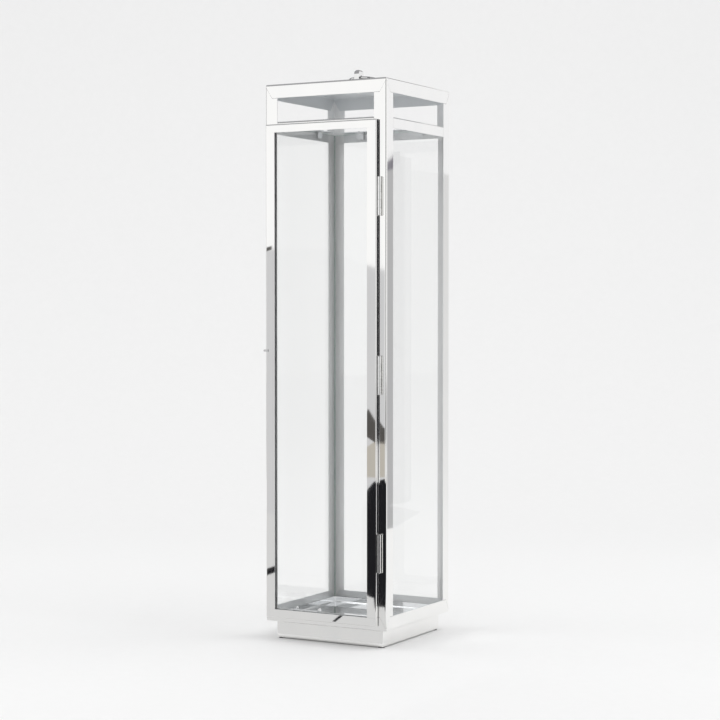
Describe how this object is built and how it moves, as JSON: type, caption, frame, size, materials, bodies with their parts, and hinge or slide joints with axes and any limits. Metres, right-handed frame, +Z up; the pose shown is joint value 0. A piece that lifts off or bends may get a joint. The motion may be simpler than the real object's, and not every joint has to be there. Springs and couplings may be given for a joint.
{
  "type": "candle lantern",
  "caption": "Tall square floor lantern: polished folded steel frame with glass sides, hinged glazed door, open vents under the cap, stepped plinth, and a ring in an eye on top.",
  "frame": {"origin": "on the ground, under the middle of the lantern's whole box", "axes": "+Z up, the door faces -Y and is hinged on its +X side"},
  "size_m": [0.2, 0.2068, 0.837],
  "materials": {
    "polished_steel": "mirror polished stainless steel",
    "plain_steel": "plain zinc plated steel",
    "fastener_steel": "polished steel fasteners",
    "clear_glass": "clear float glass with polished edges",
    "foot_rubber": "matt black rubber",
    "pad_rubber": "translucent setting rubber",
    "washer_plastic": "natural nylon",
    "magnet": "dull sintered magnet"
  },
  "bodies": {
    "case": {"plinth": "polished_steel", "foot_pads": "foot_rubber", "floor_tray": "polished_steel", "tray_screws": "fastener_steel", "tray_washers": "washer_plastic", "tray_nuts": "plain_steel", "bottom_rail_front": "polished_steel", "bottom_rail_right": "polished_steel", "bottom_rail_back": "polished_steel", "bottom_rail_left": "polished_steel", "post_front_left_front": "polished_steel", "post_front_left_side": "polished_steel", "post_front_right_side": "polished_steel", "post_front_right_front": "polished_steel", "post_back_right_back": "polished_steel", "post_back_right_side": "polished_steel", "post_back_left_side": "polished_steel", "post_back_left_back": "polished_steel", "vent_rail_front": "polished_steel", "vent_rail_right": "polished_steel", "vent_rail_back": "polished_steel", "vent_rail_left": "polished_steel", "top_cap": "polished_steel", "glass_right": "clear_glass", "glass_back": "clear_glass", "glass_left": "clear_glass", "glass_pads": "pad_rubber", "glass_clips": "polished_steel", "clip_screws": "fastener_steel", "catch_cup": "plain_steel", "catch_magnet": "magnet", "hinge_leaf_frame_upper": "polished_steel", "hinge_leaf_frame_middle": "polished_steel", "hinge_leaf_frame_lower": "polished_steel", "hinge_pin_upper": "polished_steel", "hinge_pin_middle": "polished_steel", "hinge_pin_lower": "polished_steel", "frame_rivets": "fastener_steel", "eye": "polished_steel", "eye_washer": "polished_steel", "eye_nut": "plain_steel"},
    "door": {"door_rail_top": "polished_steel", "door_rail_bottom": "polished_steel", "door_stile_left": "polished_steel", "door_stile_right": "polished_steel", "door_glass": "clear_glass", "door_pull": "polished_steel", "door_strike": "plain_steel", "hinge_leaf_door_upper": "polished_steel", "hinge_leaf_door_middle": "polished_steel", "hinge_leaf_door_lower": "polished_steel", "door_rivets": "fastener_steel"},
    "ring": {"lift_ring": "polished_steel"}
  },
  "joints": [
    {"name": "door_hinge", "type": "hinge", "parent": "case", "child": "door", "pos_m": [0.0905, -0.1001, 0.39], "axis": [0, 0, 1], "range_deg": [0, 160]},
    {"name": "ring_swing", "type": "hinge", "parent": "case", "child": "ring", "pos_m": [0, 0.0034, 0.8255], "axis": [1, 0, 0], "range_deg": [0, 205.4]}
  ]
}
